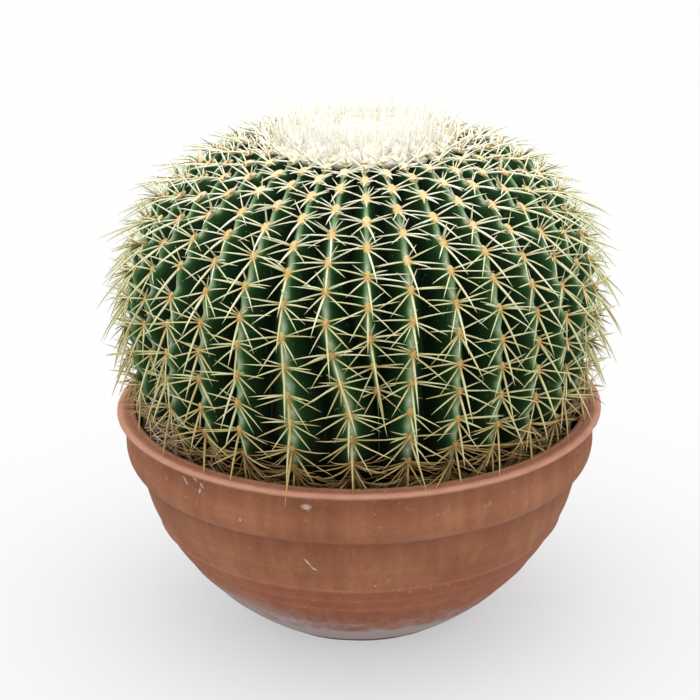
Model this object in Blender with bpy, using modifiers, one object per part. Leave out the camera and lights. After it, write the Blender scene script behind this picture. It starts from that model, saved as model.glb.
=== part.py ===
"""Round ribbed barrel cactus growing in a wide terracotta bowl.

The bowl is turned, hollow and drained.  The cactus body is one ribbed solid
with a root neck that sits in a socket in the soil.  Each rib carries one row
of spine cushions with its spines, and the crown is covered by a felt of wool.

Metres, +Z up.  The origin is the middle of the bowl's underside.
"""
import math

import bmesh
import bpy
from mathutils import Vector

# ---------------------------------------------------------------- dimensions
POT_HEIGHT = 0.1475
RIM_RADIUS = 0.1608        # outside of the rolled lip
LIP_WIDTH = 0.0125         # from the mouth to the outside of the lip
LIP_HEIGHT = 0.0070
NECK_RADIUS = 0.1562       # hollow of the collar, under the lip
NECK_HEIGHT = 0.1310
COLLAR_RADIUS = 0.1492     # lower edge of the collar
COLLAR_HEIGHT = 0.1078
BASE_RADIUS = 0.0671
BASE_CHAMFER = 0.0016
COLLAR_SWELL = 0.0056      # the collar swells this much above its lower edge
COLLAR_SWELL_RISE = 0.0105
COLLAR_STEP = 0.0030       # height of the step under the collar
WALL = 0.009
MOUTH_FLARE = 0.45         # the inside opens this much per unit of height in the collar
FLOOR = 0.012
DRAIN_RADIUS = 0.012

BOWL_RADIUS = 0.1462       # the bowl under the collar, a superellipse
BOWL_WAIST = 0.1122        # height where that curve would stand upright
BOWL_DEPTH = 0.1338
BOWL_POWER = 1.716

GAP = 0.0003               # clearance between touching pieces

SOIL_HEIGHT = 0.1300
SOIL_FALL = 0.0030         # the soil lies this much lower at the wall

RIBS = 34
FIRST_RIB = math.radians(-88.3)
BODY_RADIUS = 0.1520       # rib crest at the widest
BODY_WAIST = 0.2163        # height of the widest place
CROWN_RISE = 0.1130        # from the waist up to the crown
CROWN_POWER = 2.36
FOOT_DROP = 0.1130         # from the waist down, if the curve closed
FOOT_POWER = 2.7
CROWN_RADIUS = 0.056       # the flat top, under the wool
CROWN_SINK = 0.0045        # the flat top lies this much under the curve's end
GROOVE_DEPTH = 0.019       # from rib crest to groove at the waist
GROOVE_RUN_OUT = 0.6       # power with which the grooves fade towards the crown
CREST_SHARE = 0.20         # flat of the crest, as a share of the rib pitch
UNDERSIDE_TUCK = 0.014     # the body turns in this much under the lowest cushions
UNDERSIDE_RISE = 0.003     # and hangs this much over the soil there
UNDERSIDE_GROOVE = 0.006
NECK_TOP_RADIUS = 0.060    # root neck, under the body
NECK_TAPER = 0.008
NECK_LENGTH = 0.012

CUSHIONS = 10              # spine cushions on a rib
CUSHION_LENGTH = 0.007
ROW_SHARE = 0.16           # width of the cushion strip, as a share of the pitch
ROW_TOP_SHARE = 0.6        # its top is this much of its foot
ROW_HEIGHT = 0.0018
ROW_LIFT = 0.0009          # the strip bridges the body's facets
ROW_START_HEIGHT = 0.1500
ROW_END_RADIUS = 0.061
SIDE_SPINE_REACH = 0.013
SIDE_SPINE_SHARE = 0.72    # of half the pitch, so that ribs stay apart
MIDDLE_SPINE_REACH = 0.0210
MIDDLE_SPINE_DROOP = 0.006

WOOL_RADIUS = 0.054
WOOL_RISE = 0.010
WOOL_EDGE = 0.002

TURNED_SEGMENTS = 48

PITCH = 2 * math.pi / RIBS
CROWN_HEIGHT = BODY_WAIST + CROWN_RISE - CROWN_SINK


# ------------------------------------------------------------------- helpers
def clear_scene():
    for obj in list(bpy.data.objects):
        bpy.data.objects.remove(obj, do_unlink=True)


def principled(name, color, roughness):
    material = bpy.data.materials.new(name)
    material.use_nodes = True
    shader = material.node_tree.nodes["Principled BSDF"]
    shader.inputs["Base Color"].default_value = (*color, 1.0)
    shader.inputs["Roughness"].default_value = roughness
    shader.inputs["Metallic"].default_value = 0.0
    return material


def add_object(name, mesh, material, collection):
    obj = bpy.data.objects.new(name, mesh)
    if not mesh.materials:
        mesh.materials.append(material)
    collection.objects.link(obj)
    return obj


def mesh_from(bm, name):
    bmesh.ops.recalc_face_normals(bm, faces=bm.faces)
    mesh = bpy.data.meshes.new(name)
    bm.to_mesh(mesh)
    bm.free()
    mesh.shade_smooth()
    mesh.set_sharp_from_angle(angle=math.radians(40))
    return mesh


def arc(center, radii, start, end, steps):
    """Points (radius, height) on an elliptic arc, from start to end degrees."""
    points = []
    for step in range(steps + 1):
        angle = math.radians(start + (end - start) * step / steps)
        points.append((center[0] + radii[0] * math.cos(angle),
                       center[1] + radii[1] * math.sin(angle)))
    return points


def turned(name, profile, material, collection, closed):
    """Solid of revolution about Z from a profile that runs down its outer side."""
    bm = bmesh.new()
    verts = [bm.verts.new((radius, 0.0, height)) for radius, height in profile]
    for first, second in zip(verts, verts[1:]):
        bm.edges.new((first, second))
    if closed:
        bm.edges.new((verts[-1], verts[0]))
    mesh = bpy.data.meshes.new(name)
    bm.to_mesh(mesh)
    bm.free()
    obj = add_object(name, mesh, material, collection)
    screw = obj.modifiers.new("Turn", "SCREW")
    screw.axis = "Z"
    screw.angle = 2 * math.pi
    screw.steps = TURNED_SEGMENTS
    screw.render_steps = TURNED_SEGMENTS
    screw.use_merge_vertices = True
    screw.merge_threshold = 0.00005
    screw.use_smooth_shade = True
    return obj


# ----------------------------------------------------------- terracotta bowl
def bowl_radius(height):
    depth = (BOWL_WAIST - height) / BOWL_DEPTH
    return BOWL_RADIUS * (1 - depth ** BOWL_POWER) ** (1 / BOWL_POWER)


def inner_radius(height):
    """The inside follows the bowl and opens straight through the collar."""
    inside = bowl_radius(min(height, COLLAR_HEIGHT)) - WALL
    flare = MOUTH_FLARE * max(0.0, height - COLLAR_HEIGHT)
    return min(RIM_RADIUS - LIP_WIDTH, inside + flare)


def spread(low, high, steps):
    return [low + (high - low) * step / steps for step in range(steps + 1)]


def bowl_profile():
    lip_center = (RIM_RADIUS - LIP_WIDTH / 2, POT_HEIGHT - LIP_HEIGHT / 2)
    lip_radii = (LIP_WIDTH / 2, LIP_HEIGHT / 2)
    profile = arc(lip_center, lip_radii, 90, -60, 4)
    profile.append((NECK_RADIUS, NECK_HEIGHT))
    profile.append((COLLAR_RADIUS + COLLAR_SWELL, COLLAR_HEIGHT + COLLAR_SWELL_RISE))
    profile.append((COLLAR_RADIUS, COLLAR_HEIGHT))
    for height in spread(COLLAR_HEIGHT - COLLAR_STEP, BASE_CHAMFER, 8):
        profile.append((bowl_radius(height), height))
    profile.append((BASE_RADIUS - BASE_CHAMFER, 0.0))
    profile.append((DRAIN_RADIUS, 0.0))
    profile.append((DRAIN_RADIUS, FLOOR))
    for height in spread(FLOOR, lip_center[1], 8):
        profile.append((inner_radius(height), height))
    profile.extend(arc(lip_center, lip_radii, 150, 120, 1))
    return profile


def make_bowl(collection):
    clay = principled("terracotta", (0.33, 0.135, 0.078), 0.85)
    return turned("terracotta_bowl", bowl_profile(), clay, collection, closed=True)


# --------------------------------------------------------------------- soil
def make_soil(collection):
    earth = principled("potting_soil", (0.045, 0.028, 0.018), 0.95)
    socket = NECK_TOP_RADIUS + GAP
    socket_floor = SOIL_HEIGHT - NECK_LENGTH - GAP
    profile = [(0.0, socket_floor),
               (socket - NECK_TAPER, socket_floor),
               (socket, SOIL_HEIGHT)]
    for height in spread(SOIL_HEIGHT - SOIL_FALL, FLOOR + GAP, 7):
        profile.append((inner_radius(height) - 2 * GAP, height))
    profile.append((0.0, FLOOR + GAP))
    return turned("potting_soil", profile, earth, collection, closed=False)


# -------------------------------------------------------------- cactus body
def crest_curve():
    """Rib crest as (radius, height) points at even turns, foot to crown."""
    points = []
    samples = 400
    for sample in range(samples + 1):
        angle = math.pi / 2 * (2 * sample / samples - 1)
        rise, power = (CROWN_RISE, CROWN_POWER) if angle >= 0 else (FOOT_DROP, FOOT_POWER)
        radius = BODY_RADIUS * max(0.0, math.cos(angle)) ** (2 / power)
        height = BODY_WAIST + math.copysign(rise * abs(math.sin(angle)) ** (2 / power), angle)
        points.append((radius, height))
    return points


def row_path():
    """The stretch of the crest that carries spines, with lengths along it."""
    path = []
    for radius, height in crest_curve():
        on_crown = height > BODY_WAIST and radius < ROW_END_RADIUS
        if height >= ROW_START_HEIGHT and not on_crown:
            length = 0.0
            if path:
                last = path[-1]
                length = last[2] + math.hypot(radius - last[0], height - last[1])
            path.append((radius, height, length))
    return path


def at_length(path, length):
    """Point on the path and its outward direction, as (radius, height) pairs."""
    for first, second in zip(path, path[1:]):
        if second[2] >= length or second is path[-1]:
            share = (length - first[2]) / (second[2] - first[2])
            point = (first[0] + share * (second[0] - first[0]),
                     first[1] + share * (second[1] - first[1]))
            run = Vector((second[0] - first[0], second[1] - first[1])).normalized()
            return point, (run.y, -run.x)
    return None


def groove_depth(radius):
    """Grooves are deepest at the waist and run out under the wool."""
    share = (radius - CROWN_RADIUS) / (BODY_RADIUS - CROWN_RADIUS)
    return GROOVE_DEPTH * max(0.0, min(1.0, share)) ** GROOVE_RUN_OUT


def body_rings():
    """Rings (radius, height, groove depth) from the crown down to the neck."""
    path = row_path()
    step = path[-1][2] / CUSHIONS
    rings = [(CROWN_RADIUS, CROWN_HEIGHT, 0.0)]
    for index in range(CUSHIONS, -1, -1):
        (radius, height), _ = at_length(path, index * step)
        rings.append((radius, height, groove_depth(radius)))
    low_radius = path[0][0]
    rings.append((low_radius - UNDERSIDE_TUCK, SOIL_HEIGHT + UNDERSIDE_RISE, UNDERSIDE_GROOVE))
    rings.append((NECK_TOP_RADIUS - GAP, SOIL_HEIGHT + 2 * GAP, 0.0))
    rings.append((NECK_TOP_RADIUS - NECK_TAPER - GAP, SOIL_HEIGHT - NECK_LENGTH + GAP, 0.0))
    return rings


def make_body(collection):
    skin = principled("cactus_skin", (0.035, 0.10, 0.03), 0.5)
    rings = body_rings()
    bm = bmesh.new()
    columns = RIBS * 3
    bmesh.ops.create_uvsphere(bm, u_segments=columns, v_segments=len(rings) + 1, radius=1.0)
    for vert in bm.verts:
        polar = math.acos(max(-1.0, min(1.0, vert.co.z)))
        ring = round(polar / math.pi * (len(rings) + 1))
        if ring == 0:
            vert.co = (0.0, 0.0, rings[0][1])
            continue
        if ring > len(rings):
            vert.co = (0.0, 0.0, rings[-1][1])
            continue
        turn = math.atan2(-vert.co.x, vert.co.y)   # the sphere's columns start at +Y
        column = round(turn / (2 * math.pi) * columns) % columns
        rib, place = divmod(column, 3)
        radius, height, groove = rings[ring - 1]
        offset = (-CREST_SHARE / 2, CREST_SHARE / 2, 0.5)[place]
        if place == 2:
            radius -= groove
        angle = FIRST_RIB + (rib + offset) * PITCH
        vert.co = (radius * math.cos(angle), radius * math.sin(angle), height)
    return add_object("cactus_body", mesh_from(bm, "cactus_body"), skin, collection)


# --------------------------------------------------------------- spine rows
def row_section(point, outward, half_width):
    """Four corners of the cushion strip: its foot on the crest, its top narrower."""
    corners = []
    top = ROW_LIFT + ROW_HEIGHT
    for lift, side in ((ROW_LIFT, -1.0), (ROW_LIFT, 1.0),
                       (top, ROW_TOP_SHARE), (top, -ROW_TOP_SHARE)):
        corners.append(Vector((point[0] + outward[0] * lift,
                               side * half_width,
                               point[1] + outward[1] * lift)))
    return corners


def raise_spine(bm, face, tip):
    """Draws a face out to a point."""
    center = bmesh.ops.poke(bm, faces=[face])["verts"][0]
    center.co = tip


def spine_row_mesh():
    path = row_path()
    step = path[-1][2] / CUSHIONS
    lengths = []
    for index in range(CUSHIONS):
        middle = (index + 0.5) * step
        lengths.append((middle - CUSHION_LENGTH / 2, False))
        lengths.append((middle + CUSHION_LENGTH / 2, True))

    bm = bmesh.new()
    cushions = []
    last = None
    for length, is_end in lengths:
        point, outward = at_length(path, length)
        half_width = ROW_SHARE / 2 * PITCH * point[0]
        corners = [bm.verts.new(co) for co in row_section(point, outward, half_width)]
        if last is None:
            bm.faces.new(corners)
        else:
            sides = [bm.faces.new((last[i], last[(i + 1) % 4], corners[(i + 1) % 4], corners[i]))
                     for i in range(4)]
            if is_end:
                cushions.append((sides, length - CUSHION_LENGTH / 2))
        last = corners
    bm.faces.new(reversed(last))

    for (_, right, top, left), length in cushions:
        point, outward = at_length(path, length)
        radius = point[0] + outward[0] * SIDE_SPINE_REACH
        reach = SIDE_SPINE_SHARE * PITCH / 2 * radius
        along = (-outward[1], outward[0])
        for face, side in ((right, 1), (left, -1)):
            tip = Vector((point[0] + outward[0] * SIDE_SPINE_REACH, side * reach,
                          point[1] + outward[1] * SIDE_SPINE_REACH))
            raise_spine(bm, face, tip)
        droop = MIDDLE_SPINE_DROOP * max(0.0, outward[0])
        tip = Vector((point[0] + outward[0] * MIDDLE_SPINE_REACH - along[0] * droop, 0.0,
                      point[1] + outward[1] * MIDDLE_SPINE_REACH - along[1] * droop))
        raise_spine(bm, top, tip)
    return mesh_from(bm, "spine_row")


def make_spine_rows(collection):
    spine = principled("spines", (0.62, 0.50, 0.25), 0.6)
    mesh = spine_row_mesh()
    for rib in range(RIBS):
        row = add_object(f"spine_row_{rib + 1:02d}", mesh, spine, collection)
        row.rotation_euler.z = FIRST_RIB + rib * PITCH


# --------------------------------------------------------------- crown wool
def make_wool(collection):
    wool = principled("crown_wool", (0.80, 0.76, 0.62), 0.95)
    base = CROWN_HEIGHT + GAP
    profile = arc((0.0, base + WOOL_EDGE), (WOOL_RADIUS, WOOL_RISE - WOOL_EDGE), 90, 0, 5)
    profile[0] = (0.0, profile[0][1])
    profile.append((WOOL_RADIUS, base))
    profile.append((0.0, base))
    return turned("crown_wool", profile, wool, collection, closed=False)


# ----------------------------------------------------------------- assembly
def main():
    clear_scene()
    collection = bpy.data.collections.new("potted_round_cactus")
    bpy.context.scene.collection.children.link(collection)
    make_bowl(collection)
    make_soil(collection)
    make_body(collection)
    make_spine_rows(collection)
    make_wool(collection)


main()
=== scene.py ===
import math
import random

import bmesh
import bpy
import numpy as np
from mathutils import Matrix, Vector, noise


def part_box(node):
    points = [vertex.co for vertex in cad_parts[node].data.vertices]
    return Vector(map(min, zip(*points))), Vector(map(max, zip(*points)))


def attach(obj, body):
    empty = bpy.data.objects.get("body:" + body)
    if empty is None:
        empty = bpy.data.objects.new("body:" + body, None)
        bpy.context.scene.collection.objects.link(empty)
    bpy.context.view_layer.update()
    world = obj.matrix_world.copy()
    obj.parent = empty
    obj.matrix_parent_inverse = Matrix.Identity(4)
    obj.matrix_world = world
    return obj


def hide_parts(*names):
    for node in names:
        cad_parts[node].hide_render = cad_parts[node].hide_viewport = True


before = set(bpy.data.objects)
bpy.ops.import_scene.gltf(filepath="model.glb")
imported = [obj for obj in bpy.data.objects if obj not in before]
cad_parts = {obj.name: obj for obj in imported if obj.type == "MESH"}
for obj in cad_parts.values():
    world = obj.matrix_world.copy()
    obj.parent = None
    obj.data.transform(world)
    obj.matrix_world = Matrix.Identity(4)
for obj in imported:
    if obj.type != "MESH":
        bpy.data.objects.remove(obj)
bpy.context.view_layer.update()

MM = 0.001
CENTER_AXIS = Vector((0.0, 0.0, 0.0))
UP = Vector((0.0, 0.0, 1.0))

# ---------------------------------------------------------------- from the frame
bowl_low, bowl_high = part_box("terracotta_bowl")
soil_low, soil_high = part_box("potting_soil")
stem_low, stem_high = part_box("cactus_body")
wool_low, wool_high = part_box("crown_wool")

RIM_HEIGHT = bowl_high.z
RIM_RADIUS = bowl_high.x
SOIL_HEIGHT = soil_high.z
CREST_RADIUS = stem_high.x
WAIST_HEIGHT = SOIL_HEIGHT + 86.3 * MM
CROWN_RISE = 113.0 * MM
CROWN_POWER = 2.36
FOOT_DROP = 113.0 * MM
FOOT_POWER = 2.7
WOOL_RADIUS = wool_high.x

# ---------------------------------------------------------------- ribs and grooves
RIBS = 34
PITCH = 2 * math.pi / RIBS
FIRST_RIB = math.radians(-88.3)
GROOVE_DEPTH = 21 * MM
FOOT_GROOVE = 9 * MM
CROWN_GROOVE = 2 * MM
CREST_ROUNDING = 0.13
RIB_WANDER = math.radians(0.9)
WANDER_AT = math.radians(-75.6)
# ribs that die out downwards: rib -> share of the height where they are gone
DYING_RIBS = {0: 0.22, 7: 0.10, 15: 0.26, 22: 0.16, 28: 0.12}
DYING_SPAN = 0.26
NEIGHBOUR_GAIN = {-2: 0.57, -1: 0.27, 1: 0.16}
CROWN_DIP = 6 * MM
CROWN_DIP_RADIUS = 74 * MM
FOOT_SINK = 5 * MM
LEAN = 0.016

CUSHION_STEP = 18.0 * MM
YOUNGEST_RADIUS = 24 * MM

STEM_COLUMNS = 16
STEM_ROWS = 150
TONES = 16

chance = random.Random(34)


# ---------------------------------------------------------------- small helpers
def smooth(low, high, value):
    """0 under low, 1 over high, with a soft turn at both."""
    share = max(0.0, min(1.0, (value - low) / (high - low)))
    return share * share * (3 - 2 * share)


def bell(offset, width):
    return math.exp(-(offset / width) ** 2)


def around(radius, angle, height):
    return Vector((radius * math.cos(angle), radius * math.sin(angle), height))


def linear(code):
    """Linear colour from an sRGB hex code."""
    parts = [int(code[i:i + 2], 16) / 255 for i in (1, 3, 5)]
    return (*[p / 12.92 if p <= 0.04045 else ((p + 0.055) / 1.055) ** 2.4 for p in parts], 1.0)


def feed(tree, made, inputs):
    """Sets each input to a value or an sRGB code, or links an output to it."""
    for name, value in inputs.items():
        socket = made.inputs[name]
        if isinstance(value, bpy.types.NodeSocket):
            tree.links.new(value, socket)
        else:
            socket.default_value = linear(value) if isinstance(value, str) else value


def node(tree, kind, inputs=None, out=0, stops=(), **settings):
    """Adds a node with its settings, a ramp's stops and its inputs, and returns an output."""
    made = tree.nodes.new("ShaderNode" + kind)
    for name, value in settings.items():
        setattr(made, name, value)
    for count, (place, value) in enumerate(stops):
        if count > 1:
            made.color_ramp.elements.new(1.0)
        element = made.color_ramp.elements[count]
        element.position = place
        element.color = linear(value) if isinstance(value, str) else (value,) * 3 + (1.0,)
    feed(tree, made, inputs or {})
    return made.outputs[out]


def new_material(name, patterns=(), **values):
    """A material with its shader, its Object coordinates and its noise patterns.

    A pattern's row says how large its features are in mm, its detail and roughness, how
    much it is squeezed across and upwards, and how far it is shifted.
    """
    material = bpy.data.materials.new(name)
    material.use_nodes = True
    tree = material.node_tree
    shader = tree.nodes["Principled BSDF"]
    feed(tree, shader, {socket.replace("_", " "): value for socket, value in values.items()})
    place = node(tree, "TexCoord", out="Object")
    grains = []
    for size, detail, roughness, across, up, shift in patterns:
        spot = node(tree, "Mapping", {"Vector": place, "Scale": (across, across, up),
                                      "Location": (shift,) * 3})
        grains.append(node(tree, "TexNoise", {"Vector": spot, "Scale": 1.0 / (size * MM),
                                              "Detail": detail, "Roughness": roughness}))
    return material, tree, shader, place, *grains


def layered(tree, color, layers, blend="MIX"):
    """Lays each layer's colour over the ones before, by the product of its shares.

    A layer is its colour and then its shares. Each of them is a value, an output, or an
    output followed by the stops of a ramp.
    """
    for layer in layers:
        over, share, *factors = [
            node(tree, "ValToRGB", {"Fac": part[0]}, stops=part[1:])
            if isinstance(part, tuple) else part for part in layer]
        for factor in factors:
            share = node(tree, "Math", {0: share, 1: factor}, operation="MULTIPLY")
        color = node(tree, "Mix", {0: share, 6: color, 7: over}, 2,
                     data_type="RGBA", blend_type=blend)
    return color


def mesh_from(bm, name):
    mesh = bpy.data.meshes.new(name)
    bm.to_mesh(mesh)
    bm.free()
    return mesh


def piece_from(bm, name, *materials):
    mesh = mesh_from(bm, name)
    for material in materials:
        mesh.materials.append(material)
    mesh.shade_smooth()
    made = bpy.data.objects.new(name, mesh)
    bpy.context.scene.collection.objects.link(made)
    return made


def turned_shape(profile, steps):
    """Full spin of (radius, height) points, with each point's run kept in a layer."""
    bm = bmesh.new()
    run_mark = bm.verts.layers.float.new("run")
    verts = []
    run = 0.0
    for index, (radius, height) in enumerate(profile):
        if index:
            run += math.hypot(radius - profile[index - 1][0], height - profile[index - 1][1])
        vert = bm.verts.new((radius, 0.0, height))
        vert[run_mark] = run
        verts.append(vert)
    edges = [bm.edges.new(pair) for pair in zip(verts, verts[1:])]
    bmesh.ops.spin(bm, geom=verts + edges, cent=CENTER_AXIS, axis=UP,
                   angle=2 * math.pi, steps=steps, use_merge=True)
    bmesh.ops.remove_doubles(bm, verts=bm.verts, dist=0.01 * MM)
    bmesh.ops.recalc_face_normals(bm, faces=bm.faces)
    return bm, run_mark, run


def wrap_map(bm, run_mark, total):
    """Unrolls a round piece about its axis: angle across, run up."""
    chart = bm.loops.layers.uv.new("OFBake")
    for face in bm.faces:
        center = face.calc_center_median()
        middle = math.atan2(center.y, center.x)
        for loop in face.loops:
            co = loop.vert.co
            angle = math.atan2(co.y, co.x) if co.xy.length > 0.1 * MM else middle
            if angle - middle > math.pi:
                angle -= 2 * math.pi
            elif middle - angle > math.pi:
                angle += 2 * math.pi
            loop[chart].uv = (0.02 + 0.96 * (angle / (2 * math.pi) + 0.5),
                              0.01 + 0.98 * loop.vert[run_mark] / total)


# ---------------------------------------------------------------- crest and ribs
def crest_curve(turn):
    """Rib crest from the foot (turn -90 degrees) to the crown (90)."""
    rise, power = (CROWN_RISE, CROWN_POWER) if turn >= 0 else (FOOT_DROP, FOOT_POWER)
    radius = CREST_RADIUS * max(0.0, math.cos(turn)) ** (2 / power)
    height = WAIST_HEIGHT + math.copysign(rise * abs(math.sin(turn)) ** (2 / power), turn)
    if turn > 0:
        height -= CROWN_DIP * (1 - smooth(0.0, CROWN_DIP_RADIUS, radius))
    return radius, height


def crest_profile():
    """(radius, height, length so far) along a crest, from under the soil to the axis."""
    points = []
    for sample in range(1201):
        radius, height = crest_curve(math.pi * (sample / 1200 - 0.5))
        if height >= SOIL_HEIGHT - FOOT_SINK:
            length = 0.0
            if points:
                length = points[-1][2] + math.hypot(radius - points[-1][0],
                                                    height - points[-1][1])
            points.append((radius, height, length))
    return points


PROFILE = crest_profile()
CREST_LENGTH = PROFILE[-1][2]
PROFILE_STEPS = [point[2] for point in PROFILE]
WAIST_RUN = next(length for _, height, length in PROFILE if height >= WAIST_HEIGHT)


def on_crest(run):
    """Radius, height and outward direction of the crest at a length along it."""
    index = int(np.searchsorted(PROFILE_STEPS, run))
    index = max(1, min(len(PROFILE) - 1, index))
    first, second = PROFILE[index - 1], PROFILE[index]
    share = (run - first[2]) / max(1e-9, second[2] - first[2])
    radius = first[0] + share * (second[0] - first[0])
    height = first[1] + share * (second[1] - first[1])
    near, far = PROFILE[max(0, index - 12)], PROFILE[min(len(PROFILE) - 1, index + 12)]
    along = Vector((far[0] - near[0], far[1] - near[1])).normalized()
    return radius, height, Vector((along.y, -along.x))


def leaning(point):
    """The plant has grown a little to the right of the bowl's axis."""
    return point + Vector((LEAN * (point.z - SOIL_HEIGHT), 0.0, 0.0))


def rib_weight(rib, share):
    """Width of a rib at a share of the height, in pitches."""
    weight = 1.0
    for dying, gone in DYING_RIBS.items():
        loss = 0.92 * (1 - smooth(gone, gone + DYING_SPAN, share))
        if rib == dying:
            weight -= loss
        offset = (rib - dying + RIBS // 2) % RIBS - RIBS // 2
        weight += loss * NEIGHBOUR_GAIN.get(offset, 0.0)
    return weight


def rib_places(share):
    """(angle, half width, weight) of every rib at a share of the height."""
    weights = [rib_weight(rib, share) for rib in range(RIBS)]
    # the first rib's own place is held by counting from the rib four before it
    start = RIBS - 4
    place = FIRST_RIB + (-4 - 0.5) * PITCH
    found = [None] * RIBS
    for count in range(RIBS):
        rib = (start + count) % RIBS
        width = weights[rib] * PITCH
        angle = place + width / 2
        angle += RIB_WANDER * -math.cos(4 * (angle - WANDER_AT)) * smooth(0.0, 0.3, share)
        found[rib] = (angle, width / 2, weights[rib])
        place += width
    return found


PLACES = [rib_places(step / 60) for step in range(61)]


def rib_place(rib, share):
    step = max(0.0, min(0.9999, share)) * 60
    low, high = PLACES[int(step)][rib], PLACES[int(step) + 1][rib]
    part = step - int(step)
    return tuple(a + part * (b - a) for a, b in zip(low, high))


def groove_depth(run, radius):
    share = smooth(0.0, 1.0, (radius - 30 * MM) / (CREST_RADIUS - 30 * MM)) ** 0.7
    if run < WAIST_RUN:
        return FOOT_GROOVE + (GROOVE_DEPTH - FOOT_GROOVE) * smooth(0.0, 0.8, run / WAIST_RUN)
    return CROWN_GROOVE + (GROOVE_DEPTH - CROWN_GROOVE) * share


def cushion_runs(rib):
    """Lengths along the crest where a rib carries its spine cushions."""
    phase = 0.0 if rib % 2 else 0.5
    wobble = random.Random(100 + rib)
    runs = []
    run = WAIST_RUN + phase * CUSHION_STEP
    while True:
        radius, _, _ = on_crest(run)
        if radius < YOUNGEST_RADIUS and run > WAIST_RUN:
            break
        runs.append(run + wobble.uniform(-1.0, 1.0) * MM)
        crowding = smooth(0.0, 112 * MM, radius) if run > WAIST_RUN + 50 * MM else 1.0
        run += CUSHION_STEP * max(0.36, crowding)
    run = WAIST_RUN + (phase - 1) * CUSHION_STEP
    while run > 3 * MM:
        runs.append(run + wobble.uniform(-1.0, 1.0) * MM)
        run -= CUSHION_STEP * (0.52 + 0.48 * smooth(0.2, 0.75, run / WAIST_RUN))
    runs.sort()
    gone = DYING_RIBS.get(rib)
    if gone is not None:
        runs = [run for run in runs if run / CREST_LENGTH > gone + 0.30 * DYING_SPAN]
    return runs


CUSHIONS = [cushion_runs(rib) for rib in range(RIBS)]


def relief(rib, side, run):
    """Swelling under each spine cushion and the notch over it, on the crest."""
    total = 0.0
    near = bell(side, 0.34)
    for place in CUSHIONS[rib]:
        offset = run - place
        if abs(offset) < 16 * MM:
            total += 2.3 * MM * bell(offset + 3.5 * MM, 5 * MM)
            total -= 1.5 * MM * bell(offset - 5.0 * MM, 3 * MM)
    return total * near


def scar_at(rib, side, run):
    """Pale corky patch just over a cushion."""
    total = 0.0
    for place in CUSHIONS[rib]:
        offset = run - place
        if -2 * MM < offset < 14 * MM:
            total = max(total, bell(offset - 6.0 * MM, 3.0 * MM))
    return total * bell(side, 0.11)


def stem_point(rib, side, run):
    """Point on the skin: side runs from -1 in one groove over 0 on the crest to 1."""
    radius, height, outward = on_crest(run)
    angle, half_width, weight = rib_place(rib, run / CREST_LENGTH)
    flank = (math.sqrt(side * side + CREST_ROUNDING ** 2) - CREST_ROUNDING) \
        / (math.sqrt(1 + CREST_ROUNDING ** 2) - CREST_ROUNDING)
    depth = groove_depth(run, radius)
    narrow = min(1.0, weight) ** 0.8
    sunk = depth * (1 - narrow * (1 - flank ** 1.12))
    lift = relief(rib, side, run) * narrow * smooth(30 * MM, 70 * MM, radius)
    out = lift - sunk
    turn = angle + side * half_width
    return leaning(around(radius + outward.x * out, turn, height + outward.y * out))


def crest_frame(rib, run):
    """Point on the crest with its outward, down and sideways directions."""
    point = stem_point(rib, 0.0, run)
    lower = stem_point(rib, 0.0, max(0.0, run - 4 * MM))
    upper = stem_point(rib, 0.0, min(CREST_LENGTH, run + 4 * MM))
    _, _, flat = on_crest(run)
    angle = math.atan2(point.y, point.x - LEAN * (point.z - SOIL_HEIGHT))
    outward = around(flat.x, angle, flat.y)
    down = (lower - upper).normalized()
    sideways = outward.cross(down).normalized()
    down = sideways.cross(outward).normalized()
    return point, outward, down, sideways


# ---------------------------------------------------------------- materials
LIME_START = -0.2


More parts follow.
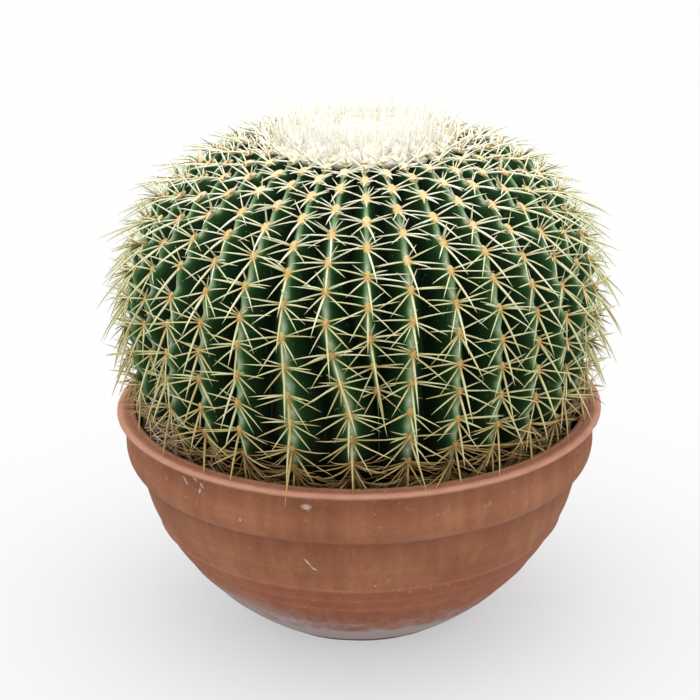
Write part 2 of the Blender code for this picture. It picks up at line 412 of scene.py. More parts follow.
def clay_material():
    # Low-fired terracotta, turned and unglazed: dry, dusty orange-brown with water
    # streaks, throwing rings and a white bloom of lime near the foot.
    material, tree, shader, place, *patterns = new_material(
        "unglazed_terracotta",
        [(60, 5, 0.55, 1, 1, 0), (8, 3, 0.55, 1, 0.045, 0), (4, 3, 0.55, 0.05, 1, 0),
         (1.2, 3, 0.55, 1, 1, 0), (12, 5, 0.65, 1, 1, 5.3), (150, 1, 0.55, 1, 1, 1.3),
         (7, 4, 0.55, 1, 1, 9.1), (22, 2, 0.55, 1, 1, 7.7)],
        Roughness=0.8, Specular_IOR_Level=0.2)
    clouds, streaks, rings, fine, blots, sides, smears, rare = patterns
    split = node(tree, "SeparateXYZ", {"Vector": place}).node.outputs
    height = node(tree, "Math", {0: split["Z"], 1: RIM_HEIGHT}, operation="DIVIDE")
    flat = node(tree, "CombineXYZ", {"X": split["X"], "Y": split["Y"]})
    radius = node(tree, "VectorMath", {0: flat}, "Value", operation="LENGTH")
    reach_out = node(tree, "Math", {0: radius, 1: RIM_RADIUS}, operation="DIVIDE")
    lip = (height, (0.966, 0.0), (0.982, 0.55), (0.992, 1.0))
    # lime: thick near the foot, in blots and streaks, and more of it on the left of the
    # bowl, which stood wet longer
    leftward = node(tree, "Math", {0: split["X"], 1: -RIM_RADIUS}, operation="DIVIDE")
    damp = node(tree, "ValToRGB", {"Fac": leftward}, stops=[(0.05, 0.0), (0.65, 0.36)])
    reach = node(tree, "ValToRGB", {"Fac": height},
                 stops=[(0.030, 0.10), (0.055, 0.72), (0.130, 0.70), (0.180, 0.22),
                        (0.28, 0.10), (0.36, 0.0)])
    lime = LIME_START
    for source, gain in ((sides, 0.4), (streaks, 0.4), (blots, 0.6), (damp, 1.0), (reach, 1.0)):
        lime = node(tree, "Math", {0: source, 1: gain, 2: lime}, operation="MULTIPLY_ADD")
    specks = node(tree, "TexVoronoi", {"Vector": place, "Scale": 1 / (5 * MM)})
    layers = [
        ((streaks, (0.36, "#744630"), (0.50, "#8f5b3e"), (0.64, "#a97652")), 0.30),
        ((rings, (0.38, "#734229"), (0.62, "#a67354")), 0.08),
        ((fine, (0.35, "#6b3d27"), (0.65, "#b18062")), 0.12),
        # painted shade: darker bands under the lip and under the collar's step, broken up by the
        # blots
        ("#6f3f2b", (height, (0.600, 0.0), (0.715, 0.35), (0.744, 0.65), (0.760, 0.0),
                     (0.860, 0.0), (0.905, 0.22), (0.950, 0.25), (0.970, 0.10)),
         (blots, (0.3, 1.0), (0.7, 0.75))),
        # redder clay in a wide band round the lower bowl, with a sharp upper edge
        ("#8a4935", (height, (0.09, 1.0), (0.30, 0.8), (0.470, 0.9), (0.492, 0.0)), 0.42),
        # ridges left by turning rub clean and show redder
        ("#b4705a", (height, (0.335, 0.0), (0.352, 0.35), (0.370, 0.0), (0.400, 0.0),
                     (0.412, 0.30), (0.428, 0.0), (0.468, 0.0), (0.484, 0.65), (0.496, 0.0)),
         (blots, (0.3, 0.3), (0.6, 1.0))),
        # worn, pinkish lip with painted highlights: two paler lines and a bright outer corner
        # along its top, a darker line between them painted as shade in the groove, and darker
        # orange where it turns into the mouth
        ("#6f4330", lip, (reach_out, (0.920, 0.0), (0.926, 0.65), (0.942, 0.15),
                          (0.956, 0.40), (0.975, 0.0))),
        ("#c3917d", lip, (reach_out, (0.926, 0.0), (0.942, 0.35), (0.954, 0.04),
                          (0.970, 0.25), (0.986, 0.80), (1.0, 0.62)),
         (blots, (0.3, 0.65), (0.6, 0.95))),
        # lime bloom, drawn up in streaks and thinning out in specks
        ("#a59a9a", (lime, (0.60, 0.0), (0.76, 0.40), (1.00, 1.0)),
         (height, (0.23, 0.90), (0.36, 0.0))),
        # darker at the very foot
        ("#4d332b", (height, (0.036, 0.80), (0.060, 0.0))),
        # thin chalky smears on the collar
        ("#b59a92", (height, (0.80, 0.0), (0.87, 1.0), (0.97, 0.4)),
         (smears, (0.60, 0.0), (0.74, 0.35))),
        # lone specks of lime
        ("#dccfc4", (specks, (0.05, 1.0), (0.11, 0.0)), (rare, (0.54, 0.0), (0.64, 1.0)), 0.6)]
    # chalk scratches and dabs: the object's coordinates squeezed so each one is a unit ball
    for angle, up, length, width, tilt in CHALK_MARKS:
        angle, tilt = math.radians(angle), math.radians(tilt)
        turn = Matrix.Rotation(angle - math.pi / 2, 3, "Z") @ Matrix.Rotation(tilt, 3, "Y")
        near = node(tree, "Mapping", {
            "Vector": place, "Location": around(wall_radius(up * MM), angle, up * MM),
            "Rotation": turn.to_euler(), "Scale": (length * MM / 2, 4 * MM, width * MM / 2),
        }, vector_type="TEXTURE")
        away = node(tree, "VectorMath", {0: near}, "Value", operation="LENGTH")
        layers.append(("#cdbcae", (away, (0.5, 0.75), (1.0, 0.0)),
                       (fine, (0.35, 0.35), (0.55, 1.0))))
    color = node(tree, "ValToRGB", {"Fac": clouds},
                 stops=[(0.30, "#84523a"), (0.52, "#935d42"), (0.72, "#a06b4e")])
    rough = node(tree, "ValToRGB", {"Fac": clouds}, stops=[(0.3, 0.86), (0.7, 0.72)])
    surface = node(tree, "Bump", {"Height": rings, "Distance": 0.5 * MM, "Strength": 0.5})
    surface = node(tree, "Bump", {"Height": fine, "Distance": 0.25 * MM, "Strength": 0.5,
                                  "Normal": surface})
    feed(tree, shader, {"Base Color": layered(tree, color, layers), "Roughness": rough,
                        "Normal": surface})
    return material


def skin_material():
    # Waxy cactus skin: deep green flanks that darken to near black in the grooves with painted
    # shade, a bluish-grey bloom on the crests, pale corky scars over the cushions, faint upright
    # streaks in the grooves, and old corky skin near the soil darkened further with painted
    # shade.
    material, tree, shader, place, clouds, fine, streaks = new_material(
        "waxy_cactus_skin", [(14, 4, 0.55, 1, 1, 0), (1.5, 3, 0.55, 1, 1, 0),
                             (2.2, 2, 0.55, 1, 0.05, 0)],
        Roughness=0.42, Specular_IOR_Level=0.10)
    side = node(tree, "Attribute", out="Fac", attribute_name="rib_side")
    scar = node(tree, "Attribute", out="Fac", attribute_name="scar")
    edge = node(tree, "Math", {0: clouds, 1: 0.16, 2: -0.08}, operation="MULTIPLY_ADD")
    edge = node(tree, "Math", {0: side, 1: edge}, operation="ADD")
    # colour across a rib from crest to groove: the near black towards the groove bottoms is
    # painted shade
    color = node(tree, "ValToRGB", {"Fac": edge},
                 stops=[(0.03, "#8fae88"), (0.10, "#769a70"), (0.20, "#2d552c"),
                        (0.36, "#193718"), (0.70, "#0f2311"), (1.0, "#081509")])
    color = layered(tree, color, [((clouds, (0.3, "#6d7f62"), (0.7, "#96a888")), 0.5)], "OVERLAY")
    dots = node(tree, "TexVoronoi", {"Vector": place, "Scale": 1 / (6 * MM)})
    height = node(tree, "SeparateXYZ", {"Vector": place}, "Z")
    low = node(tree, "Math", {0: height, 1: RIM_HEIGHT * 1.4}, operation="DIVIDE")
    color = layered(tree, color, [
        ("#7d9a6e", (streaks, (0.64, 0.0), (0.72, 1.0)), 0.12),
        ("#a7b193", (dots, (0.05, 1.0), (0.10, 0.0)), 0.35),
        # old corky skin near the soil, darkened to near black with painted shade where the lowest
        # stem sits in shadow
        ("#15120a", (low, (0.72, 1.0), (0.88, 0.0)), 0.90),
        ("#d3cabb", scar, (fine, (0.3, 0.25), (0.65, 0.8)))])
    rough = node(tree, "ValToRGB", {"Fac": side},
                 stops=[(0.05, 0.80), (0.30, 0.62), (0.60, 0.62), (0.9, 1.0)])
    surface = node(tree, "Bump", {"Height": clouds, "Distance": 0.8 * MM, "Strength": 0.4})
    surface = node(tree, "Bump", {"Height": fine, "Distance": 0.12 * MM, "Strength": 0.4,
                                  "Normal": surface})
    feed(tree, shader, {"Base Color": color, "Roughness": rough, "Normal": surface})
    return material


def spine_material():
    # Horny spines: straw yellow and a little glossy, orange-tan where they leave the
    # felt, cream when young and brown-grey when old; the near white of the crown's spines
    # is partly their young cream and partly a painted highlight of the brightly lit top.
    material, tree, shader, _ = new_material("horny_spine", Roughness=0.45,
                                             Specular_IOR_Level=0.4)
    along = node(tree, "Attribute", out="Fac", attribute_name="along")
    tone = node(tree, "Attribute", out="Fac", attribute_name="tone")
    color = node(tree, "ValToRGB", {"Fac": tone},
                 stops=[(0.0, "#46341c"), (0.15, "#7d6036"), (0.35, "#b59f63"),
                        (0.55, "#c5c593"), (0.80, "#dddcc4"), (1.0, "#f3f2ea")])
    color = layered(tree, color, [
        ((tone, (0.0, "#553c22"), (0.3, "#a9864a"), (0.62, "#c9ab69"), (1.0, "#ece0c0")),
         (along, (0.02, 1.0), (0.22, 0.0))),
        ("#b78f55", (along, (0.88, 0.0), (1.0, 1.0)), 0.5)])
    feed(tree, shader, {"Base Color": color})
    return material


def felt_material(name, low, middle, high):
    # Felted wool of the cushions and the crown: matt, fuzzy and slightly sheeny.
    material, tree, shader, _, fuzz = new_material(
        name, [(0.9, 3, 0.55, 1, 1, 0)], Roughness=0.95, Specular_IOR_Level=0.1,
        Sheen_Weight=0.4, Sheen_Roughness=0.5)
    tone = node(tree, "Attribute", out="Fac", attribute_name="tone")
    color = node(tree, "ValToRGB", {"Fac": tone}, stops=[(0.0, low), (0.45, middle), (1.0, high)])
    color = layered(tree, color, [((fuzz, (0.3, "#8a6f4a"), (0.7, "#ffffff")), 0.30)],
                    "SOFT_LIGHT")
    surface = node(tree, "Bump", {"Height": fuzz, "Distance": 0.6 * MM, "Strength": 0.8})
    feed(tree, shader, {"Base Color": color, "Normal": surface})
    return material


def soil_material():
    # Dark peaty potting soil: dull, crumbly, with bark and root bits.
    material, tree, shader, _, crumbs, bits = new_material(
        "peaty_potting_soil", [(4, 6, 0.7, 1, 1, 0), (1.6, 3, 0.55, 1, 1, 2.0)],
        Roughness=0.95, Specular_IOR_Level=0.15)
    color = node(tree, "ValToRGB", {"Fac": crumbs},
                 stops=[(0.3, "#140d08"), (0.5, "#2b1d12"), (0.7, "#4d3823")])
    color = layered(tree, color, [("#8b7352", (bits, (0.62, 0.0), (0.70, 0.7)))])
    surface = node(tree, "Bump", {"Height": crumbs, "Distance": 2.5 * MM, "Strength": 1.0})
    feed(tree, shader, {"Base Color": color, "Normal": surface})
    return material


def grit_material():
    # Crumbs of peat and bark, with a few pale stones, told apart by their tone.
    material, tree, shader, _, fine = new_material(
        "grit_and_bark", [(0.8, 3, 0.55, 1, 1, 0)], Roughness=0.9, Specular_IOR_Level=0.2)
    tone = node(tree, "Attribute", out="Fac", attribute_name="tone")
    color = node(tree, "ValToRGB", {"Fac": tone},
                 stops=[(0.0, "#1a120d"), (0.55, "#49331f"), (0.8, "#7c6244"), (1.0, "#b9aa92")])
    color = layered(tree, color, [((fine, (0.3, "#5c5c5c"), (0.7, "#a8a8a8")), 0.4)], "OVERLAY")
    surface = node(tree, "Bump", {"Height": fine, "Distance": 0.4 * MM, "Strength": 0.7})
    feed(tree, shader, {"Base Color": color, "Normal": surface})
    return material


def hair_material(name, root, tip, roughness):
    # Fine plant hair and blades: pale and silky, colour changing from root to tip.
    material, tree, shader, _ = new_material(name, Roughness=roughness, Specular_IOR_Level=0.4)
    along = node(tree, "Attribute", out="Fac", attribute_name="along")
    color = node(tree, "ValToRGB", {"Fac": along}, stops=[(0.0, root), (1.0, tip)])
    feed(tree, shader, {"Base Color": color})
    return material


# ---------------------------------------------------------------- terracotta bowl
def arc_points(center, radii, start, end, steps):
    points = []
    for step in range(steps + 1):
        angle = math.radians(start + (end - start) * step / steps)
        points.append((center[0] + radii[0] * math.cos(angle),
                       center[1] + radii[1] * math.sin(angle)))
    return points


# the bowl's outer side is part of a rounded curve, and its inner side opens into the collar
BOWL_RADIUS = 146.2 * MM
BOWL_TOP = 112.2 * MM
BOWL_DROP = 133.8 * MM
BOWL_POWER = 1.716
WALL = 9 * MM
FLARE_START = 107.8 * MM
FLARE = 0.45
LIP_WIDTH = 12.5 * MM
# the foot's edge, the drain hole's radius and the top of the floor inside, in mm
FOOT_RADIUS = 66.6
DRAIN_RADIUS = 12
FLOOR_TOP = 12


def bowl_radius(height):
    depth = max(0.0, (BOWL_TOP - height) / BOWL_DROP)
    return BOWL_RADIUS * (1 - depth ** BOWL_POWER) ** (1 / BOWL_POWER)


def inner_radius(height):
    inside = bowl_radius(min(height, FLARE_START)) - WALL
    return min(RIM_RADIUS - LIP_WIDTH, inside + FLARE * max(0.0, height - FLARE_START))


# outer side of the collar, from the lip's lower corner down to the bowl, in mm
COLLAR = [(158.6, 144.2), (157.2, 143.7), (156.1, 142.6), (155.5, 140.6), (155.1, 137.8),
          (155.0, 135.0), (155.0, 132.4), (155.3, 129.8), (155.6, 127.2), (155.7, 124.6),
          (155.6, 122.0), (155.2, 119.4), (154.5, 117.0), (153.6, 114.9), (152.5, 113.1),
          (151.5, 111.7), (149.9, 110.6), (148.4, 109.6), (147.2, 108.6), (146.5, 107.3),
          (146.2, 105.8)]
# chalk scratches and dabs: angle in degrees, height, length and width in mm, tilt
CHALK_MARKS = [(-134.5, 137.0, 8, 2.2, -50), (-131.0, 140.5, 5, 2.0, -35),
               (-129.2, 138.0, 5, 2.4, -65), (-129.9, 133.6, 5, 2.2, -105),
               (-118.4, 121.9, 2.2, 2.2, 0), (-103.4, 93.8, 9, 1.6, -52),
               (-101.9, 89.2, 6, 1.8, -30), (-102.4, 136.9, 8, 4.5, 0),
               (-86.6, 75.8, 1.8, 1.4, 0), (-80.0, 70.4, 1.5, 1.2, 0),
               (-77.0, 67.7, 1.8, 1.4, 0), (-71.0, 68.0, 1.4, 1.2, 0),
               (-66.1, 68.4, 1.8, 1.3, 0), (-20.0, 120.0, 6, 2.0, 30),
               (40.0, 90.0, 9, 1.6, -40), (75.0, 130.0, 7, 3.0, 10), (150.0, 84.0, 8, 1.6, 60)]


def wall_radius(height):
    """Radius of the outer wall at a height, over the collar or the bowl."""
    if height < COLLAR[-1][1] * MM:
        return bowl_radius(height)
    heights = [point[1] * MM for point in reversed(COLLAR)]
    return float(np.interp(height, heights, [point[0] * MM for point in reversed(COLLAR)]))


def bowl_outline():
    """Outer side from the lip down, under the foot, and up the inside."""
    mouth = RIM_RADIUS - LIP_WIDTH
    points = arc_points((mouth + 1.6 * MM, RIM_HEIGHT - 1.6 * MM), (1.6 * MM, 1.6 * MM),
                        176, 96, 5)
    points += [(mouth + LIP_WIDTH * share, RIM_HEIGHT - 0.5 * MM * share)
               for share in (0.2, 0.28, 0.36, 0.44, 0.5, 0.56, 0.62, 0.68, 0.74)]
    points += arc_points((RIM_RADIUS - 2.0 * MM, RIM_HEIGHT - 1.9 * MM), (2.0 * MM, 1.4 * MM),
                         84, -66, 9)
    points += [(radius * MM, height * MM) for radius, height in COLLAR]
    for step in range(38):
        height = (104.6 - 103.0 * step / 37) * MM
        points.append((bowl_radius(height), height))
    points += [(radius * MM, height * MM) for radius, height in
               ((FOOT_RADIUS, 0.5), (65.4, 0.0), (58, 0.0), (55, 1.0), (30, 1.2), (13.5, 1.0),
                (DRAIN_RADIUS, 2.2), (DRAIN_RADIUS, FLOOR_TOP))]
    for step in range(16):
        height = (FLOOR_TOP + (RIM_HEIGHT / MM - FLOOR_TOP - 3.2) * step / 15) * MM
        points.append((inner_radius(height), height))
    return points


# ridges and hollows left by turning: height, how far they stand out, how wide they are
TURNING_MARKS = [(71.4, 1.2, 2.4), (66.0, -0.35, 3.0), (85.0, 0.3, 5.0), (50.0, -0.4, 4.0),
                 (44.0, 0.35, 3.0), (33.0, -0.3, 3.0), (24.0, 0.3, 3.0)]
# chips out of the lip: angle in degrees, size in mm, depth in mm
LIP_CHIPS = [(-131, 2.0, 0.4), (-115, 7.0, 0.7), (-62, 2.2, 0.5), (-20, 3.5, 0.9),
             (35, 3.0, 0.8), (88, 4.0, 1.2), (140, 2.5, 0.7), (171, 3.0, 0.9)]


BOWL_STEPS = 320
LIP_LINE = 5.6 * MM
CLAY_WAVE = 0.35 * MM
CLAY_GRAIN = 0.10 * MM
FOOT_WEAR = 0.8 * MM
FOOT_WEAR_HEIGHT = 6 * MM


def make_bowl(clay):
    outline = bowl_outline()
    outline.append(outline[0])
    bm, run_mark, total = turned_shape(outline, BOWL_STEPS)
    for vert in bm.verts:
        co = vert.co
        radius = co.xy.length
        angle = math.atan2(co.y, co.x)
        outside = radius > inner_radius(co.z) + 4 * MM
        push = CLAY_WAVE * noise.noise(Vector((co.x, co.y, co.z * 1.5)) * 18)
        push += CLAY_GRAIN * noise.noise(co * 120)
        if outside:
            for height, stand, width in TURNING_MARKS:
                push += stand * MM * bell(co.z / MM - height, width)
        if co.z > RIM_HEIGHT - 6 * MM and radius > RIM_RADIUS - 12 * MM:
            groove = bell((radius - (RIM_RADIUS - LIP_LINE)) / MM, 0.8)
            co.z -= 0.30 * MM * groove
            for degrees, size, depth in LIP_CHIPS:
                away = (angle - math.radians(degrees) + math.pi) % (2 * math.pi) - math.pi
                chip = bell(away * radius / MM, size) \
                    * smooth(RIM_RADIUS - 4 * MM, RIM_RADIUS, radius)
                push -= depth * MM * chip
                co.z -= 0.5 * depth * MM * chip
        if co.z < FOOT_WEAR_HEIGHT and outside:
            push += FOOT_WEAR * noise.noise(co * 70) * (1 - co.z / FOOT_WEAR_HEIGHT)
        scale = (radius + push) / max(radius, 1e-6)
        co.x *= scale
        co.y *= scale
    wrap_map(bm, run_mark, total)
    bowl = piece_from(bm, "clay_bowl", clay)
    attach(bowl, "root")
    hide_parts("terracotta_bowl")


# ---------------------------------------------------------------- soil and litter
SOIL_BOTTOM = 12.4 * MM
SOIL_STEPS = 300
# lumps of the soil: height in mm and how many of them to a metre
SOIL_LUMPS = ((2.4, 45), (1.0, 160), (0.6, 420))
# how many crumbs and shed spines lie on the soil, and the inner and outer edge of each ring
GRIT_COUNT = 1500
GRIT_RING = (0.085, 0.1455)
SHED_COUNT = 3000
SHED_RING = (0.093, 0.141)


def soil_height(x, y):
    spot = Vector((x, y, 0.0))
    height = SOIL_HEIGHT - 2 * MM
    for size, grain in SOIL_LUMPS:
        height += size * MM * noise.noise(spot * grain)
    return height


def make_soil(earth):
    wall = inner_radius(SOIL_HEIGHT) - 0.4 * MM
    outline = [(0.0, SOIL_HEIGHT)]
    outline += [(60 * MM + (wall - 60 * MM) * step / 44, SOIL_HEIGHT) for step in range(45)]
    for step in range(12):
        height = SOIL_HEIGHT - (SOIL_HEIGHT - SOIL_BOTTOM) * (step + 1) / 12
        outline.append((inner_radius(height) - 0.5 * MM, height))
    outline.append((0.0, SOIL_BOTTOM))
    bm, run_mark, total = turned_shape(outline, SOIL_STEPS)
    for vert in bm.verts:
        if vert.co.z > SOIL_HEIGHT - 1 * MM:
            vert.co.z = soil_height(vert.co.x, vert.co.y)
    wrap_map(bm, run_mark, total)
    soil = piece_from(bm, "soil_bed", earth)
    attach(soil, "root")
    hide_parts("potting_soil")


def pebble_shape(finer=1):
    bm = bmesh.new()
    bm.loops.layers.uv.new("OFBake")
    bmesh.ops.create_icosphere(bm, subdivisions=finer, radius=0.5, calc_uvs=True)
    return mesh_from(bm, "pebble")


def spine_shape(segments, cuts, fullness=2.5):
    """A unit spine along +Z: even for most of its length, then drawn to a point."""
    bm = bmesh.new()
    chart = bm.loops.layers.uv.new("OFBake")
    bmesh.ops.create_cone(bm, cap_ends=True, segments=segments, radius1=0.5, radius2=0.05,
                          depth=1.0, matrix=Matrix.Translation((0, 0, 0.5)))
    long_edges = [e for e in bm.edges if abs(e.verts[0].co.z - e.verts[1].co.z) > 0.5]
    bmesh.ops.subdivide_edges(bm, edges=long_edges, cuts=cuts, use_grid_fill=True)
    for vert in bm.verts:
        run = vert.co.z
        wanted = 0.5 * (1 - 0.9 * max(0.0, run) ** fullness)
        grown = wanted / (0.5 - 0.45 * run)
        vert.co.x *= grown
        vert.co.y *= grown
    for face in bm.faces:
        face.material_index = 1
        center = face.calc_center_median()
        middle = math.atan2(center.y, center.x)
        for loop in face.loops:
            turn = math.atan2(loop.vert.co.y, loop.vert.co.x) - middle
            turn = (turn + math.pi) % (2 * math.pi) - math.pi
            loop[chart].uv = (loop.vert.co.z, 0.0 if turn < 0 else 1.0)
    return mesh_from(bm, "spine")


class Cluster:
    """Many small copies of a few shapes in one mesh, each with a tone of its own."""

    def __init__(self):
        self.bm = bmesh.new()
        self.bm.loops.layers.uv.new("OFBake")
        self.along = self.bm.verts.layers.float.new("along")
        self.tone = self.bm.verts.layers.float.new("tone")

    def add(self, shape, tone, place):
        """Adds a shape whose points go through place(x, y, z)."""
        first = len(self.bm.verts)
        self.bm.from_mesh(shape)
        self.bm.verts.ensure_lookup_table()
        tone = round(max(0.0, min(1.0, tone)) * (TONES - 1)) / (TONES - 1)
        for vert in self.bm.verts[first:]:
            vert[self.along] = max(0.0, min(1.0, vert.co.z))
            vert[self.tone] = tone
            vert.co = place(*vert.co)

    def spine(self, shape, root, way, bend, length, width, tone):
        """A spine from root along way, which bends off by bend times its length."""
        side = way.orthogonal().normalized()
        other = way.cross(side)
        run, drift = way * length, bend * length

        def place(x, y, z):
            return root + run * z + drift * (z * z) + (side * x + other * y) * width

        self.add(shape, tone, place)

    def lump(self, shape, center, axes, tone):
        """A rounded lump on three half axes."""
        def place(x, y, z):
            return center + axes[0] * x + axes[1] * y + axes[2] * z

        self.add(shape, tone, place)

    def piece(self, name, *materials):
        made = piece_from(self.bm, name, *materials)
        mesh = made.data
        # rows of the bake chart: one per tone, the lumps' rows over the spines' rows
        corners = len(mesh.loops)
        uv = np.empty(corners * 2, np.float32)
        mesh.uv_layers["OFBake"].data.foreach_get("uv", uv)
        uv = uv.reshape(-1, 2)
        verts = np.empty(corners, np.int32)
        mesh.loops.foreach_get("vertex_index", verts)
        tones = np.empty(len(mesh.vertices), np.float32)
        mesh.attributes["tone"].data.foreach_get("value", tones)
        kinds = np.empty(len(mesh.polygons), np.int32)
        mesh.polygons.foreach_get("material_index", kinds)
        totals = np.empty(len(mesh.polygons), np.int32)
        mesh.polygons.foreach_get("loop_total", totals)
        row = np.round(tones[verts] * (TONES - 1)) + TONES * (np.repeat(kinds, totals) == 0)
        uv[:, 0] = 0.01 + 0.98 * np.clip(uv[:, 0], 0, 1)
        uv[:, 1] = (row + 0.12 + 0.76 * np.clip(uv[:, 1], 0, 1)) / (2 * TONES)
        mesh.uv_layers["OFBake"].data.foreach_set("uv", uv.ravel())
        return made


def make_grit(shape, grit):
    cluster = Cluster()
    for _ in range(GRIT_COUNT):
        angle = chance.uniform(0, 2 * math.pi)
        radius = math.sqrt(chance.uniform(GRIT_RING[0] ** 2, GRIT_RING[1] ** 2))
        size = chance.uniform(0.8, 2.6) * MM * (1.8 if chance.random() < 0.06 else 1.0)
        flat = chance.uniform(0.45, 0.9)
        x, y = radius * math.cos(angle), radius * math.sin(angle)
        turn = Matrix.Rotation(chance.uniform(0, math.pi), 3, "Z") \
            @ Matrix.Rotation(chance.uniform(-0.5, 0.5), 3, "X")
        axes = [turn @ Vector((size * chance.uniform(0.8, 1.5), 0, 0)),
                turn @ Vector((0, size, 0)), turn @ Vector((0, 0, size * flat))]
        center = Vector((x, y, soil_height(x, y) + 0.2 * size))
        tone = chance.uniform(0.0, 0.75) if chance.random() < 0.93 else chance.uniform(0.8, 1.0)
        cluster.lump(shape, center, axes, tone)
    made = cluster.piece("soil_grit", grit)
    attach(made, "root")


def make_shed_spines(shape, felt, horn):
    """Dead spines shed on the soil, in a loose mat round the foot."""
    cluster = Cluster()
    for _ in range(SHED_COUNT):
        angle = chance.uniform(0, 2 * math.pi)
        radius = chance.uniform(*SHED_RING)
        length = chance.uniform(14, 30) * MM
        heading = angle + chance.gauss(math.pi / 2, 0.8)
        heading += math.pi if chance.random() < 0.5 else 0
        tilt = chance.gauss(0.10, 0.18)
        way = Vector((math.cos(heading) * math.cos(tilt), math.sin(heading) * math.cos(tilt),
                      math.sin(tilt)))
        x, y = radius * math.cos(angle), radius * math.sin(angle)
        root = Vector((x, y, soil_height(x, y) + chance.uniform(0.5, 14.0) * MM
                       * smooth(0.150, 0.105, radius) + 0.6 * MM))
        end = root + way * length
        if end.xy.length > inner_radius(end.z) - 1.5 * MM:
            way = -way
            end = root + way * length
        if end.xy.length > inner_radius(end.z) - 1.5 * MM or end.z < SOIL_HEIGHT - 3 * MM:
            continue
        bend = Vector((0, 0, chance.uniform(-0.12, 0.05)))
        cluster.spine(shape, root, way, bend, length, chance.uniform(0.6, 1.0) * MM,
                      chance.uniform(0.10, 0.58))
    made = cluster.piece("shed_spines", felt, horn)
    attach(made, "root")


# ---------------------------------------------------------------- cactus stem
def make_stem(skin):
    columns = RIBS * STEM_COLUMNS
    rows = STEM_ROWS
    bm = bmesh.new()
    run_mark = bm.verts.layers.float.new("run")
    side_mark = bm.verts.layers.float.new("rib_side")
    scar_mark = bm.verts.layers.float.new("scar")
    bmesh.ops.create_uvsphere(bm, u_segments=columns, v_segments=rows, radius=1.0)
    low = stem_point(0, 0.0, 0.0).z
    for vert in bm.verts:
        polar = math.acos(max(-1.0, min(1.0, vert.co.z)))
        ring = round(polar / math.pi * rows)
        run = CREST_LENGTH * (1 - ring / rows)
        vert[run_mark] = run
        if ring == rows:
            vert.co = (0.0, 0.0, low)
            vert[side_mark] = 1.0
            continue
        if ring == 0:
            vert.co = leaning(Vector((0.0, 0.0, PROFILE[-1][1])))
            continue
        turn = math.atan2(-vert.co.x, vert.co.y)   # the sphere's columns start at +Y
        column = round(turn / (2 * math.pi) * columns) % columns
        rib, step = divmod(column, STEM_COLUMNS)
        side = 2 * step / STEM_COLUMNS
        if side > 1.0:
            side -= 2.0
            rib = (rib + 1) % RIBS
        vert[side_mark] = abs(side)
        vert[scar_mark] = scar_at(rib, side, run)
        vert.co = stem_point(rib, side, run)
    bmesh.ops.recalc_face_normals(bm, faces=bm.faces)
    wrap_map(bm, run_mark, CREST_LENGTH)
    stem = piece_from(bm, "cactus_stem", skin)
    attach(stem, "root")
    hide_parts("cactus_body")


# spines of one cushion: turn from straight down in degrees, lift off the skin in
# degrees, length in mm, width in mm, how much the tip curves down, chance that it grows
RADIALS = [(148, 34, 11, 0.85, 0.02, 0.34), (122, 28, 14, 1.00, 0.03, 0.42),
           (99, 22, 24, 1.10, 0.04, 0.95), (78, 20, 25, 1.10, 0.05, 0.95),
           (46, 22, 21, 1.08, 0.08, 0.95), (22, 30, 14, 0.80, 0.03, 0.10)]
CENTRALS = [(3, 32, 28, 1.50, 0.16, 1.00), (100, 44, 20, 1.30, 0.08, 0.22),
            (-100, 44, 20, 1.30, 0.08, 0.22), (176, 60, 16, 1.20, 0.10, 0.35)]
# the upright spines of the youngest cushions, in the wool
YOUNG = (180, 48, 40, 1.00, 0.06, 0.90)


